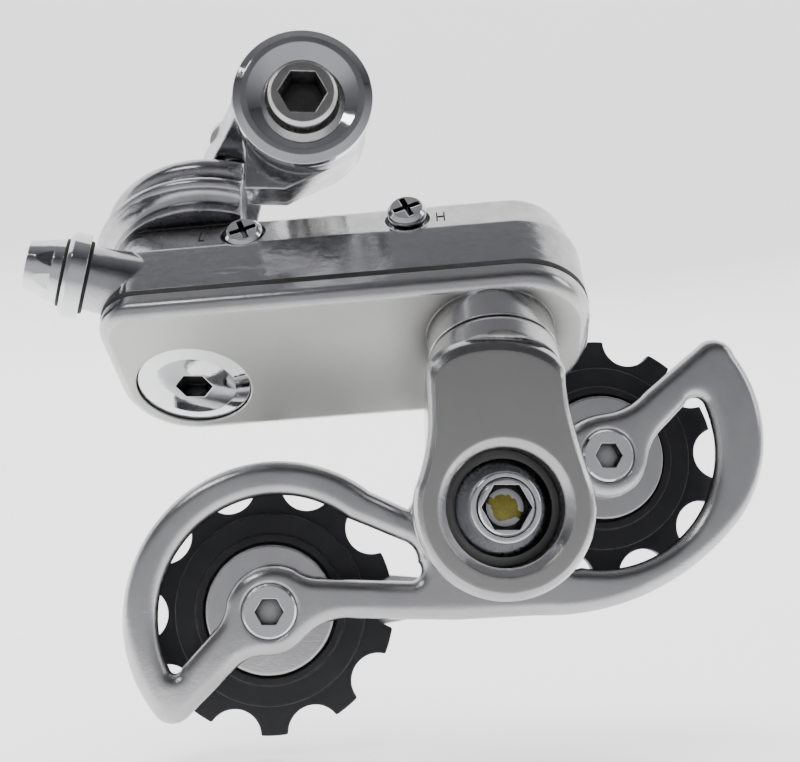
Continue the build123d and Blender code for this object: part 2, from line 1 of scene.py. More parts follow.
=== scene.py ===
"""Looks of a rear derailleur: finishes, softened castings, small added pieces, studio and camera.

Lengths are in metres. +X points to the front of the bicycle, +Y towards the wheel and +Z up.
"""
import json
import logging
import math
from dataclasses import dataclass, field
from enum import Enum
from typing import Callable, Iterable, Optional, Union

import bpy
from mathutils import Matrix, Vector


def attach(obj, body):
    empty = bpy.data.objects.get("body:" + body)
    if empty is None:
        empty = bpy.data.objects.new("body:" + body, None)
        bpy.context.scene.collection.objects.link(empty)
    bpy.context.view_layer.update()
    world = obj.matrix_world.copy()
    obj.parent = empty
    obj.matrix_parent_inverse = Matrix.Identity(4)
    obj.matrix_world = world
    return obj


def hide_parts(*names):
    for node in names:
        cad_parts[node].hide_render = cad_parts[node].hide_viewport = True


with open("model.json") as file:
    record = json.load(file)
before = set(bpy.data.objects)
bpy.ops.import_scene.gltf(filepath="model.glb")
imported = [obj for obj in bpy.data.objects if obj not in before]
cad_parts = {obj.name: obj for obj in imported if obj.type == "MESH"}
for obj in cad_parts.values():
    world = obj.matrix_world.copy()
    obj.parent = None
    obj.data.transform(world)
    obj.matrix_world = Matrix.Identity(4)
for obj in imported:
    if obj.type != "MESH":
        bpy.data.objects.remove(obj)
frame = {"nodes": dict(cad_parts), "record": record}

LOG = logging.getLogger("derailleur")
MM = 0.001
SLANT = math.radians(58.0)
PIVOT_AXIS = Vector((0.0, -math.cos(SLANT), -math.sin(SLANT)))
CROSS_AXIS = Vector((0.0, -math.sin(SLANT), math.cos(SLANT)))
MAIN_PIVOT = (Vector((-16.7, 0.0, 0.0)) + CROSS_AXIS * -26.3) * MM
CAGE_PIVOT = Vector((27.9, 0.0, -57.5)) * MM
FORWARD = Vector((1.0, 0.0, 0.0))
OUTBOARD = Vector((0.0, -1.0, 0.0))
BOX_TILT = 8.0                          # the box's length rises this much to the front, in degrees
MERGE_DISTANCE = 0.002 * MM             # closer vertices of a copied node are one
FLAT_ANGLE = math.radians(0.5)          # triangles that turn less are one face
SMOOTH_ANGLE = math.radians(38.0)       # sharper edges stay sharp
SCRATCH_STRETCH = (0.04, 1.0, 1.0)      # fine scratches are long one way
SCRATCH_TURN = (0.3, 0.5, 0.9)          # and lie across the axes, in radians

Colour = tuple[float, float, float]
Triple = tuple[float, float, float]
Value = Union["Wire", float, Colour]


class Body(Enum):
    """The moving bodies that added pieces ride on."""

    HANGER = "hanger"
    BASE = "base"
    BOX = "box"
    CAGE = "cage"
    TENSION_WHEEL = "tension_wheel"
    GUIDE_WHEEL = "guide_wheel"


# ---- places in the box -------------------------------------------------------------------------
def swing_plane(angle: float) -> Vector:
    """A direction square to the main pivot.

    Args:
        angle: its turn from the front of the bicycle, in degrees.

    Returns:
        The unit direction.
    """
    return FORWARD * math.cos(math.radians(angle)) + CROSS_AXIS * math.sin(math.radians(angle))


BOX_ALONG, BOX_ACROSS = swing_plane(BOX_TILT), swing_plane(BOX_TILT + 90.0)


def box_place(along: float, across: float, level: float) -> Vector:
    """A point of the box.

    Args:
        along: millimetres from the main pivot along the box.
        across: millimetres from it across the box.
        level: millimetres along the pivot's axis.

    Returns:
        The point, in metres.
    """
    return MAIN_PIVOT + (BOX_ALONG * along + BOX_ACROSS * across + PIVOT_AXIS * level) * MM


# ---- shader building --------------------------------------------------------------------------
class Wire:
    """An output socket that takes part in arithmetic."""

    def __init__(self, graph: "Graph", socket: bpy.types.NodeSocket) -> None:
        """Wrap a socket of a graph."""
        self.graph = graph
        self.socket = socket

    def _math(self, operation: str, first: Value, second: Value, clamp: bool = False) -> "Wire":
        """Add a Math node.

        Args:
            operation: the Math node's operation.
            first: the first operand.
            second: the second operand.
            clamp: keeps the result between 0 and 1.

        Returns:
            The result.
        """
        settings = {"operation": operation, "use_clamp": clamp}
        return self.graph.node("ShaderNodeMath", settings, {0: first, 1: second})

    def __add__(self, other: Value) -> "Wire":
        """Sum."""
        return self._math("ADD", self, other)

    __radd__ = __add__

    def __sub__(self, other: Value) -> "Wire":
        """Difference."""
        return self._math("SUBTRACT", self, other)

    def __rsub__(self, other: Value) -> "Wire":
        """Difference from a number."""
        return self._math("SUBTRACT", other, self)

    def __mul__(self, other: Value) -> "Wire":
        """Product."""
        return self._math("MULTIPLY", self, other)

    __rmul__ = __mul__

    def limited(self) -> "Wire":
        """The value kept between 0 and 1."""
        return self._math("ADD", self, 0.0, True)

    def at_least(self, other: Value) -> "Wire":
        """The larger of two values."""
        return self._math("MAXIMUM", self, other)

    def above(self, low: float, high: float) -> "Wire":
        """A smooth step.

        Args:
            low: where the step starts.
            high: where it ends.

        Returns:
            0 below low, 1 above high.
        """
        return self.graph.node("ShaderNodeMapRange", {"interpolation_type": "SMOOTHSTEP"},
                               {"Value": self, "From Min": low, "From Max": high})


class Graph:
    """A node tree and the nodes that are added to it."""

    def __init__(self, tree: bpy.types.NodeTree) -> None:
        """Start from an empty tree.

        Args:
            tree: the tree, whose nodes are removed.
        """
        self.tree = tree
        self.tree.nodes.clear()

    def node(self, kind: str, settings: Optional[dict] = None, sockets: Optional[dict] = None,
             out: Union[int, str] = 0) -> Wire:
        """Add any node.

        Args:
            kind: the node's type.
            settings: its attributes, set first; "stops" gives a ramp's two stops.
            sockets: values or wires by input index, name or identifier.
            out: the output to return.

        Returns:
            The chosen output.
        """
        made = self.tree.nodes.new(kind)
        for key, value in (settings or {}).items():
            if key == "stops":
                for stop, (position, colour) in zip(made.color_ramp.elements, value):
                    stop.position, stop.color = position, (*colour, 1.0)
            else:
                setattr(made, key, value)
        for key, value in (sockets or {}).items():
            self.feed(self.find(made.inputs, key), value)
        return Wire(self, self.find(made.outputs, out))

    @staticmethod
    def find(group: Iterable, key: Union[int, str]) -> bpy.types.NodeSocket:
        """A socket by index, identifier or name."""
        if isinstance(key, int):
            return group[key]
        exact = [socket for socket in group if socket.identifier == key]
        named = [socket for socket in group if socket.name == key and socket.enabled]
        return (exact or named)[0]

    def feed(self, socket: bpy.types.NodeSocket, value: Value) -> None:
        """Link a wire to a socket, or set its value."""
        if isinstance(value, Wire):
            self.tree.links.new(value.socket, socket)
        elif isinstance(value, tuple) and len(value) == 3 and socket.type == "RGBA":
            socket.default_value = (*value, 1.0)
        else:
            socket.default_value = value

    def place(self, stretch: Triple = (1.0, 1.0, 1.0), turn: Triple = (0.0, 0.0, 0.0)) -> Wire:
        """Object coordinates, turned and stretched.

        Args:
            stretch: scale along each axis.
            turn: rotation in radians.

        Returns:
            The coordinates.
        """
        where = self.node("ShaderNodeTexCoord", out="Object")
        return self.node("ShaderNodeMapping", None, {"Vector": where, "Scale": stretch, "Rotation": turn})

    def noise(self, scale: float, detail: float = 3.0, where: Optional[Wire] = None,
              rough: float = 0.5) -> Wire:
        """A cloudy pattern.

        Args:
            scale: cells per metre.
            detail: number of finer layers.
            where: its coordinates, the object's own if none is given.
            rough: weight of the finer layers.

        Returns:
            A value round 0.5.
        """
        return self.node("ShaderNodeTexNoise", None, {
            "Vector": where or self.place(), "Scale": scale, "Detail": detail, "Roughness": rough})

    def blend(self, factor: Value, first: Value, second: Value) -> Wire:
        """A mix of two colours."""
        return self.node("ShaderNodeMix", {"data_type": "RGBA"}, {
            "Factor_Float": factor, "A_Color": first, "B_Color": second}, "Result_Color")

    def facing(self, direction: Vector) -> Wire:
        """How much the surface faces a direction of the piece, from -1 to 1."""
        normal = self.node("ShaderNodeTexCoord", out="Normal")
        return self.agreement(normal, tuple(direction))

    def agreement(self, first: Value, second: Value) -> Wire:
        """The dot product of two directions."""
        settings = {"operation": "DOT_PRODUCT"}
        return self.node("ShaderNodeVectorMath", settings, {0: first, 1: second}, "Value")

    def edge(self, radius: float) -> tuple[Wire, Wire]:
        """Edges of the surface.

        Args:
            radius: how wide the edges are taken.

        Returns:
            A value that is 1 on the edges, and the rounded normal.
        """
        soft = self.node("ShaderNodeBevel", {"samples": 6}, {"Radius": radius})
        flat = self.node("ShaderNodeNewGeometry", out="Normal")
        return ((1.0 - self.agreement(soft, flat)) * 7.0).limited(), soft

    def hollow(self, reach: float) -> Wire:
        """How deep a point lies in a hollow of its own piece.

        Args:
            reach: how far the walls are looked for.

        Returns:
            0 in the open, 1 deep in a hole.
        """
        openness = self.node("ShaderNodeAmbientOcclusion", {"samples": 6, "only_local": True},
                             {"Distance": reach}, "AO")
        return ((1.0 - openness) * 2.2 - 0.35).limited()


class Surface(Graph):
    """A material's tree, ending in one Principled shader."""

    def __init__(self, name: str) -> None:
        """Start an empty material.

        Args:
            name: the material's name.
        """
        self.material = bpy.data.materials.new(name)
        self.material.use_nodes = True
        super().__init__(self.material.node_tree)
        self.shader = self.tree.nodes.new("ShaderNodeBsdfPrincipled")
        output = self.tree.nodes.new("ShaderNodeOutputMaterial")
        self.tree.links.new(self.shader.outputs[0], output.inputs[0])


@dataclass(frozen=True)
class Layer:
    """One surface treatment: colours, gloss, grain and marks."""

    tone: Colour
    shade: Colour
    gloss: float
    spread: float = 0.08
    patch: float = 90.0
    grain: float = 2600.0
    lift: float = 0.02
    stretch: Triple = (1.0, 1.0, 1.0)
    turn: Triple = (0.0, 0.0, 0.0)
    scratch: float = 0.25

    def lay(self, graph: Graph) -> tuple[Wire, Wire, Wire]:
        """Add the treatment's nodes.

        Args:
            graph: the material's graph.

        Returns:
            Colour, roughness and height.
        """
        where = graph.place(self.stretch, self.turn)
        cloud = graph.noise(self.patch, 4.0, None, 0.6)
        grain = graph.noise(self.grain, 3.0, where, 0.6)
        lines = graph.noise(self.grain * 0.35, 2.0, graph.place(SCRATCH_STRETCH, SCRATCH_TURN), 0.7)
        marks = lines.above(0.66, 0.72) * self.scratch
        colour = graph.blend((cloud - 0.5) * 1.8 + 0.5, self.tone, self.shade)
        colour = graph.blend(marks * 0.5, colour, tuple(0.55 * c for c in self.shade))
        rough = (cloud - 0.5) * self.spread * 2.0 + (grain - 0.5) * self.spread
        rough = rough + marks * 0.25 + self.gloss
        return colour, rough, grain * self.lift - marks * self.lift


@dataclass(frozen=True)
class Finish:
    """A material of one or two surface treatments, with worn edges and painted shade in its hollows."""

    name: str
    main: Layer
    second: Optional[Layer] = None
    where: Optional[Callable[[Graph], Wire]] = None
    metallic: float = 1.0
    wear: Colour = (0.9, 0.9, 0.9)
    wear_amount: float = 0.5
    edge_radius: float = 0.35 * MM
    coat: float = 0.0
    # colour of the painted shade in the piece's own hollows; None leaves it out
    hollow_shade: Optional[Colour] = (0.035, 0.033, 0.030)
    # how far ambient occlusion looks for the walls of a hollow with painted shade
    hollow_shade_reach: float = 5.0 * MM
    wear_grain: float = 700.0
    relief: float = 0.6

    def material(self) -> bpy.types.Material:
        """Build the material, once.

        Returns:
            The material.
        """
        made = bpy.data.materials.get(self.name)
        if made:
            return made
        graph = Surface(self.name)
        colour, rough, height = self.main.lay(graph)
        if self.second and self.where:
            mask = self.where(graph)
            other, other_rough, other_height = self.second.lay(graph)
            colour = graph.blend(mask, colour, other)
            rough = rough * (1.0 - mask) + other_rough * mask
            height = height * (1.0 - mask) + other_height * mask
        normal = None
        if self.edge_radius > 0.0:
            edge, normal = graph.edge(self.edge_radius)
            worn = edge * graph.noise(self.wear_grain, 3.0).above(0.35, 0.6) * self.wear_amount
            colour = graph.blend(worn, colour, self.wear)
            rough = rough - worn * 0.08
        # Painted shade: the colour darkens in the piece's own hollows, such as sockets, gaps and creases,
        # where ambient occlusion finds walls near by.
        if self.hollow_shade:
            deep = graph.hollow(self.hollow_shade_reach)
            colour = graph.blend(deep, colour, self.hollow_shade)
            rough = rough + deep * 0.22
        sockets = {"Height": height, "Distance": MM, "Strength": self.relief}
        if normal:
            sockets["Normal"] = normal
        bump = graph.node("ShaderNodeBump", None, sockets)
        shader = graph.shader.inputs
        graph.feed(shader["Base Color"], colour)
        graph.feed(shader["Roughness"], rough.at_least(0.03))
        graph.feed(shader["Normal"], bump)
        shader["Metallic"].default_value = self.metallic
        shader["Specular IOR Level"].default_value = 0.5 if self.metallic else 0.28
        shader["Coat Weight"].default_value = self.coat
        shader["Coat Roughness"].default_value = 0.15
        return graph.material


def flat_face(graph: Graph) -> Wire:
    """1 on the flat outer face of the cover plate, 0 on its rounded rim and sides."""
    return graph.facing(PIVOT_AXIS).above(0.972, 0.995)


def front_face(graph: Graph) -> Wire:
    """1 on surfaces that face straight outboard."""
    return graph.facing(OUTBOARD).above(0.955, 0.985)


POLISH = Layer((0.52, 0.52, 0.525), (0.40, 0.40, 0.41), 0.20, 0.10, 120.0, 1500.0, 0.03)
CAST_POLISH = Layer((0.50, 0.50, 0.51), (0.33, 0.33, 0.345), 0.15, 0.16, 240.0, 900.0, 0.055)
SATIN = Layer((0.42, 0.42, 0.407), (0.37, 0.37, 0.357), 0.34, 0.06, 60.0, 3200.0, 0.02,
              (0.25, 1.0, 1.0), (0.0, 0.0, 0.14), 0.12)
CHROMED = Layer((0.74, 0.74, 0.75), (0.62, 0.63, 0.65), 0.055, 0.05, 150.0, 700.0, 0.012)
STEEL = Layer((0.72, 0.71, 0.70), (0.50, 0.49, 0.48), 0.20, 0.14, 320.0, 1400.0, 0.03)
RESIN = Layer((0.007, 0.007, 0.009), (0.016, 0.016, 0.019), 0.42, 0.12, 160.0, 1800.0, 0.035)
GUM = Layer((0.012, 0.012, 0.012), (0.03, 0.03, 0.03), 0.62, 0.10, 200.0, 2200.0, 0.03)
BRONZE = Layer((0.50, 0.36, 0.20), (0.36, 0.25, 0.13), 0.32, 0.12, 260.0, 2000.0, 0.03)
DARK_SPRING = Layer((0.20, 0.20, 0.21), (0.11, 0.11, 0.12), 0.34, 0.12, 300.0, 1800.0, 0.03)
PRESSED = Layer((0.60, 0.60, 0.60), (0.46, 0.46, 0.47), 0.27, 0.10, 110.0, 2600.0, 0.03, (0.2, 1.0, 1.0))
GREASED = Layer((0.30, 0.27, 0.02), (0.13, 0.11, 0.015), 0.25, 0.15, 900.0, 1500.0, 0.10)

FINISHES: dict[str, Finish] = {
    "polished_alloy": Finish("polished_alloy_finish", CAST_POLISH, edge_radius=0.5 * MM),
    "cage_alloy": Finish("cage_alloy_finish", POLISH, edge_radius=0.9 * MM),
    "satin_cover": Finish("satin_cover_finish", POLISH, SATIN, flat_face, edge_radius=0.4 * MM),
    "satin_knuckle": Finish("satin_knuckle_finish", POLISH, SATIN, front_face, edge_radius=0.6 * MM),
    "satin_alloy": Finish("satin_alloy_finish", SATIN, POLISH, front_face, edge_radius=0.3 * MM),
    "plate_alloy": Finish("plate_alloy_finish", PRESSED, edge_radius=0.3 * MM),
    "chrome": Finish("chrome_finish", CHROMED, edge_radius=0.2 * MM),
    "bolt_steel": Finish("bolt_steel_finish", STEEL, edge_radius=0.2 * MM),
    "bright_bolt": Finish("bright_bolt_finish", CHROMED, edge_radius=0.15 * MM),
    "spring_steel": Finish("spring_steel_finish", DARK_SPRING, edge_radius=0.0, hollow_shade=None),
    "bearing_bronze": Finish("bearing_bronze_finish", BRONZE, wear=(0.7, 0.55, 0.35), edge_radius=0.15 * MM),
    "black_resin": Finish("black_resin_finish", RESIN, metallic=0.0, wear=(0.10, 0.10, 0.10),
                          edge_radius=0.35 * MM, hollow_shade=None),
    "black_rubber": Finish("black_rubber_finish", GUM, metallic=0.0, edge_radius=0.0, hollow_shade=None),
    "grease": Finish("grease_finish", GREASED, metallic=0.0, coat=0.6, edge_radius=0.0, hollow_shade=None),
    "mark_paint": Finish("mark_paint_finish", GUM, metallic=0.0, edge_radius=0.0, hollow_shade=None),
}


# ---- modelling helpers -------------------------------------------------------------------------
def clear_selection() -> None:
    """Leave edit mode and deselect everything."""
    if bpy.context.object and bpy.context.object.mode != "OBJECT":
        bpy.ops.object.mode_set(mode="OBJECT")
    bpy.ops.object.select_all(action="DESELECT")


def choose(piece: bpy.types.Object) -> None:
    """Make one object selected and active."""
    clear_selection()
    piece.select_set(True)
    bpy.context.view_layer.objects.active = piece


def copy_node(node: str, name: str) -> bpy.types.Object:
    """Copy a CAD node's mesh into a new object with its vertices merged.

    Args:
        node: the CAD node.
        name: the new piece's name.

    Returns:
        The new object.
    """
    source = frame["nodes"][node]
    piece = bpy.data.objects.new(name, source.data.copy())
    bpy.context.scene.collection.objects.link(piece)
    piece.matrix_world = source.matrix_world.copy()
    choose(piece)
    bpy.ops.object.transform_apply(location=True, rotation=True, scale=True)
    if piece.data.has_custom_normals:
        bpy.ops.mesh.customdata_custom_splitnormals_clear()
    bpy.ops.object.mode_set(mode="EDIT")
    bpy.ops.mesh.select_all(action="SELECT")
    bpy.ops.mesh.remove_doubles(threshold=MERGE_DISTANCE)
    bpy.ops.mesh.dissolve_limited(angle_limit=FLAT_ANGLE)
    bpy.ops.object.mode_set(mode="OBJECT")
    return piece


def finish_piece(piece: bpy.types.Object, finish: str, body: Body,
                 replaced: tuple[str, ...] = ()) -> None:
    """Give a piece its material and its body.

    Args:
        piece: the finished mesh.
        finish: a key of FINISHES.
        body: the body it rides on.
        replaced: CAD nodes that it stands for.
    """
    piece.data.materials.clear()
    piece.data.materials.append(FINISHES[finish].material())
    choose(piece)
    bpy.ops.object.shade_smooth_by_angle(angle=SMOOTH_ANGLE)
    weighted = piece.modifiers.new("flat_faces", "WEIGHTED_NORMAL")
    weighted.mode, weighted.weight, weighted.keep_sharp = "FACE_AREA", 80, True
    bpy.ops.object.modifier_apply(modifier=weighted.name)
    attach(piece, body.value)
    if replaced:
        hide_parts(*replaced)
    LOG.info("%s: %d faces on %s", piece.name, len(piece.data.polygons), body.value)


def soften(piece: bpy.types.Object, width: float, segments: int = 2, angle: float = 40.0) -> None:
    """Round the edges of a piece.

    Args:
        piece: the piece.
        width: the bevel's width.
        segments: its segments.
        angle: the smallest edge angle that is rounded, in degrees.
    """
    choose(piece)
    made = piece.modifiers.new("rounded_edges", "BEVEL")
    made.width, made.segments, made.limit_method = width, segments, "ANGLE"
    made.angle_limit, made.use_clamp_overlap, made.harden_normals = math.radians(angle), True, False
    bpy.ops.object.modifier_apply(modifier=made.name)


def move_into_mesh(piece: bpy.types.Object, matrix: Matrix) -> None:
    """Put a piece's place into its mesh, so that its object sits at the origin."""
    piece.matrix_world = matrix @ piece.matrix_world
    choose(piece)
    bpy.ops.object.transform_apply(location=True, rotation=True, scale=True)


# ---- sub-assemblies ----------------------------------------------------------------------------
@dataclass
class HangerBolt:
    """The hanger bolt with its rolled thread."""

    crest: float = 4.99 * MM
    root: float = 4.45 * MM
    pitch: float = 1.0 * MM
    start: float = 0.6 * MM
    turns: int = 7
    steps: int = 48
    bite: float = 0.15 * MM
    shank_start: float = 0.2 * MM

    def build(self) -> None:
        """Model the bolt and its thread."""
        bolt = copy_node("hanger_bolt", "hanger_bolt_detail")
        for vertex in bolt.data.vertices:
            place = vertex.co
            radius = math.hypot(place.x, place.z)
            if place.y > self.shank_start and radius > self.root:
                place.x *= self.root / radius
                place.z *= self.root / radius
        finish_piece(bolt, "bolt_steel", Body.HANGER, ("hanger_bolt",))
        finish_piece(self.thread(), "bolt_steel", Body.HANGER)

    def thread(self) -> bpy.types.Object:
        """Wind the thread's ridge round the shank.

        Returns:
            The ridge.
        """
        clear_selection()
        bpy.ops.mesh.primitive_circle_add(vertices=4, radius=self.pitch / 2.0, fill_type="NOTHING",
                                          location=(0.0, 0.0, 0.0))
        ridge = bpy.context.object
        ridge.name = "hanger_thread_ridge"
        foot, half = self.root - self.bite, 0.44 * self.pitch
        corners = ((foot, -half), (self.crest, -0.1 * half), (self.crest, 0.1 * half), (foot, half))
        for vertex, (radius, height) in zip(ridge.data.vertices, corners):
            vertex.co = (radius, height + self.start, 0.0)
        choose(ridge)
        screw = ridge.modifiers.new("winding", "SCREW")
        screw.axis, screw.screw_offset, screw.iterations = "Y", self.pitch, self.turns
        screw.steps = screw.render_steps = self.steps
        screw.use_merge_vertices = False
        bpy.ops.object.modifier_apply(modifier=screw.name)
        bpy.ops.object.mode_set(mode="EDIT")
        bpy.ops.mesh.select_all(action="DESELECT")
        bpy.ops.mesh.select_non_manifold()
        bpy.ops.mesh.edge_face_add()
        bpy.ops.mesh.select_all(action="SELECT")
        bpy.ops.mesh.normals_make_consistent(inside=False)
        bpy.ops.object.mode_set(mode="OBJECT")
        return ridge


@dataclass
class SoftenedNodes:
    """CAD nodes that are shown as copies with rounded edges."""

    rows: tuple[tuple[str, str, Body, str, float], ...] = (
        ("tension_wheel", "black_resin", Body.TENSION_WHEEL, "black_resin", 0.25),
        ("guide_wheel", "black_resin", Body.GUIDE_WHEEL, "black_resin", 0.25),
        ("inner_cage_plate", "plate_alloy", Body.CAGE, "plate_alloy", 0.4),
        ("cage_cone_nut", "chrome", Body.CAGE, "chrome", 0.2),
        ("tension_front_shield", "satin_alloy", Body.CAGE, "satin_alloy", 0.45),
        ("guide_front_shield", "satin_alloy", Body.CAGE, "satin_alloy", 0.45),
        ("base_knuckle", "polished_alloy", Body.BASE, "polished_alloy", 0.6),
    )

    def build(self) -> None:
        """Copy, round and dress each node."""
        for node, finish, body, node_slot, width in self.rows:
            piece = copy_node(node, f"{node}_detail")
            soften(piece, width * MM)
            finish_piece(piece, finish, body, (node,))


@dataclass
class CagePlate:
    """The outer cage plate: a flat bar with crowned edges round both loops, and its hub."""

    front: float = 12.9 * MM
    back: float = 16.3 * MM
    crown: float = 2.0 * MM
    hub_radius: float = 10.0 * MM
    hub_front: float = 9.4 * MM
    bolt_radius: float = 4.02 * MM
    seat_radius: float = 4.42 * MM
    seat_depth: float = 1.7 * MM
    wheel_hole: float = 2.5 * MM
    wheels: tuple[tuple[float, float], ...] = ((-4.9, -73.2), (49.8, -48.5))
    smallest_window: float = 15.0 * MM

    def build(self) -> None:
        """Model the plate and the hub."""
        plate = self.crowned_bar()
        before, behind = self.front - MM, self.back + MM
        for x, z in self.wheels:
            self.drill(plate, x * MM, z * MM, self.seat_radius, before, self.front + self.seat_depth)
            self.drill(plate, x * MM, z * MM, self.wheel_hole, before, behind)
        self.drill(plate, CAGE_PIVOT.x, CAGE_PIVOT.z, self.bolt_radius, before, behind)
        finish_piece(plate, "cage_alloy", Body.CAGE, ("outer_cage_plate",))
        hub = self.round_bar(CAGE_PIVOT.x, CAGE_PIVOT.z, self.hub_radius, self.hub_front,
                             self.front + 0.8 * MM, 96)
        hub.name = "cage_hub"
        self.drill(hub, CAGE_PIVOT.x, CAGE_PIVOT.z, self.bolt_radius, self.hub_front - MM, self.back)
        soften(hub, 0.3 * MM)
        finish_piece(hub, "cage_alloy", Body.CAGE)

    def crowned_bar(self) -> bpy.types.Object:
        """Draw the plate from its outline with crowned edges.

        Returns:
            The closed plate.
        """
        data = bpy.data.curves.new("outer_cage_plate_detail", "CURVE")
        data.dimensions, data.fill_mode = "2D", "BOTH"
        data.bevel_depth, data.bevel_resolution, data.offset = self.crown, 5, -self.crown
        for loop in self.loops():
            spline = data.splines.new("POLY")
            spline.points.add(len(loop) - 1)
            for point, place in zip(spline.points, loop):
                point.co = (place.x, place.z, 0.0, 1.0)
            spline.use_cyclic_u = True
        plate = bpy.data.objects.new("outer_cage_plate_detail", data)
        bpy.context.scene.collection.objects.link(plate)
        choose(plate)
        bpy.ops.object.convert(target="MESH")
        plate = bpy.context.object
        thin = Matrix.Diagonal((1.0, (self.back - self.front) / (2.0 * self.crown), 1.0, 1.0))
        centre = Matrix.Translation((0.0, (self.back + self.front) / 2.0, 0.0))
        move_into_mesh(plate, centre @ thin @ Matrix.Rotation(math.radians(90.0), 4, "X"))
        bpy.ops.object.mode_set(mode="EDIT")
        bpy.ops.mesh.select_all(action="SELECT")
        bpy.ops.mesh.remove_doubles(threshold=0.01 * MM)
        bpy.ops.mesh.normals_make_consistent(inside=False)
        bpy.ops.object.mode_set(mode="OBJECT")
        return plate

    def loops(self) -> list[list[Vector]]:
        """The outer edge and the two windows, from the plate's back face.

        Returns:
            Closed rings of points, without the bolt holes.
        """
        copied = copy_node("outer_cage_plate", "plate_outline")
        mesh = copied.data
        uses: dict[tuple[int, int], int] = {}
        for face in mesh.polygons:
            if face.normal.y > 0.99 and face.center.y > self.back - 0.05 * MM:
                for key in face.edge_keys:
                    uses[key] = uses.get(key, 0) + 1
        near: dict[int, list[int]] = {}
        for (a, b), count in uses.items():
            if count == 1:
                near.setdefault(a, []).append(b)
                near.setdefault(b, []).append(a)
        rings = []
        while near:
            here: Optional[int] = next(iter(near))
            ring = []
            while here is not None:
                ring.append(mesh.vertices[here].co.copy())
                following = [other for other in near.pop(here) if other in near]
                here = following[0] if following else None
            width = max(point.x for point in ring) - min(point.x for point in ring)
            if width > self.smallest_window:
                rings.append(ring)
        bpy.data.objects.remove(copied)
        return rings

    @staticmethod
    def round_bar(x: float, z: float, radius: float, low: float, high: float,
                  sides: int) -> bpy.types.Object:
        """A cylinder across the bicycle.

        Args:
            x: its place, forward.
            z: its place, up.
            radius: its radius.
            low: its outboard end.
            high: its inboard end.
            sides: its number of sides.

        Returns:
            The cylinder.
        """
        clear_selection()
        bpy.ops.mesh.primitive_cylinder_add(vertices=sides, radius=radius, depth=high - low)
        bar = bpy.context.object
        centre = Matrix.Translation((x, (low + high) / 2.0, z))
        move_into_mesh(bar, centre @ Matrix.Rotation(math.radians(90.0), 4, "X"))
        return bar

    def drill(self, piece: bpy.types.Object, x: float, z: float, radius: float, low: float,
              high: float) -> None:
        """Cut a round hole across the bicycle.

        Args:
            piece: the piece that is cut.
            x: the hole's place, forward.
            z: its place, up.
            radius: its radius.
            low: its outboard end.
            high: its inboard end.
        """
        tool = self.round_bar(x, z, radius, low, high, 64)
        choose(piece)
        cut = piece.modifiers.new("hole", "BOOLEAN")
        cut.operation, cut.object, cut.solver = "DIFFERENCE", tool, "EXACT"
        bpy.ops.object.modifier_apply(modifier=cut.name)
        bpy.data.objects.remove(tool)


@dataclass
class AdjusterRings:
    """The two black rings beside the adjuster's collar."""

    origin: Vector = field(default_factory=lambda: MAIN_PIVOT + Vector((-15.6 * MM, 0.0, 0.0))
                           + CROSS_AXIS * 13.7 * MM + PIVOT_AXIS * 19.4 * MM)
    angle: float = 163.0
    rings: tuple[tuple[str, float, float, float], ...] = (
        ("collar_seal_inner", 0.05, 5.2, 0.35), ("collar_seal_outer", 3.35, 4.75, 0.38))

    def build(self) -> None:
        """Add both rings."""
        out = swing_plane(self.angle)
        turn = out.to_track_quat("Z", "Y").to_matrix().to_4x4()
        for name, level, ring, wire in self.rings:
            clear_selection()
            bpy.ops.mesh.primitive_torus_add(major_segments=64, minor_segments=12, major_radius=ring * MM,
                                             minor_radius=wire * MM)
            piece = bpy.context.object
            piece.name = name
            move_into_mesh(piece, Matrix.Translation(self.origin + out * level * MM) @ turn)
            finish_piece(piece, "black_rubber", Body.BOX)


@dataclass
class GasketBead:
    """The cover's black gasket, pressed a little proud of the joint."""

    centre: Triple = (24.7, 2.9, 25.3)
    growth: Triple = (1.006, 1.014, 1.7)
    rounding: float = 0.12 * MM

    def build(self) -> None:
        """Swell a copy of the gasket."""
        bead = copy_node("cover_gasket", "cover_gasket_bead")
        middle = box_place(*self.centre)
        for vertex in bead.data.vertices:
            offset = vertex.co - middle
            swollen = (axis * offset.dot(axis) * grown
                       for axis, grown in zip((BOX_ALONG, BOX_ACROSS, PIVOT_AXIS), self.growth))
            vertex.co = sum(swollen, middle)
        soften(bead, self.rounding)
        finish_piece(bead, "black_rubber", Body.BOX, ("cover_gasket",))


@dataclass
class ScrewMarks:
    """The small letters beside the two limit screws."""

    height: float = 2.3 * MM
    half_thickness: float = 0.06 * MM
    stretch: float = 1.7
    wall: float = 17.4
    rim_level: float = 16.6
    level: float = 14.8
    proud: float = 0.02
    slope: float = math.radians(15.0)
    letters: tuple[tuple[str, str, float], ...] = (("low_mark", "L", 3.6), ("high_mark", "H", 40.0))

    def build(self) -> None:
        """Lay both letters on the sloping top wall of the box."""
        up = (BOX_ACROSS * math.cos(self.slope) - PIVOT_AXIS * math.sin(self.slope)).normalized()
        face_up = up.cross(BOX_ALONG).normalized()
        turn = Matrix((BOX_ALONG, face_up * self.stretch, up)).transposed().to_4x4()
        surface = self.wall - (self.rim_level - self.level) * math.tan(self.slope) + self.proud
        for name, letter, along in self.letters:
            piece = self.letter(name, letter)
            move_into_mesh(piece, Matrix.Translation(box_place(along, surface, self.level)) @ turn)
            finish_piece(piece, "mark_paint", Body.BOX)

    def letter(self, name: str, letter: str) -> bpy.types.Object:
        """Make a letter as a mesh.

        Args:
            name: the piece's name.
            letter: the letter.

        Returns:
            The flat, upright letter.
        """
        clear_selection()
        bpy.ops.object.text_add()
        piece = bpy.context.object
        piece.name = name
        piece.data.body, piece.data.align_x = letter, "CENTER"
        piece.data.size, piece.data.extrude = self.height, self.half_thickness
        bpy.ops.object.convert(target="MESH")
        return piece


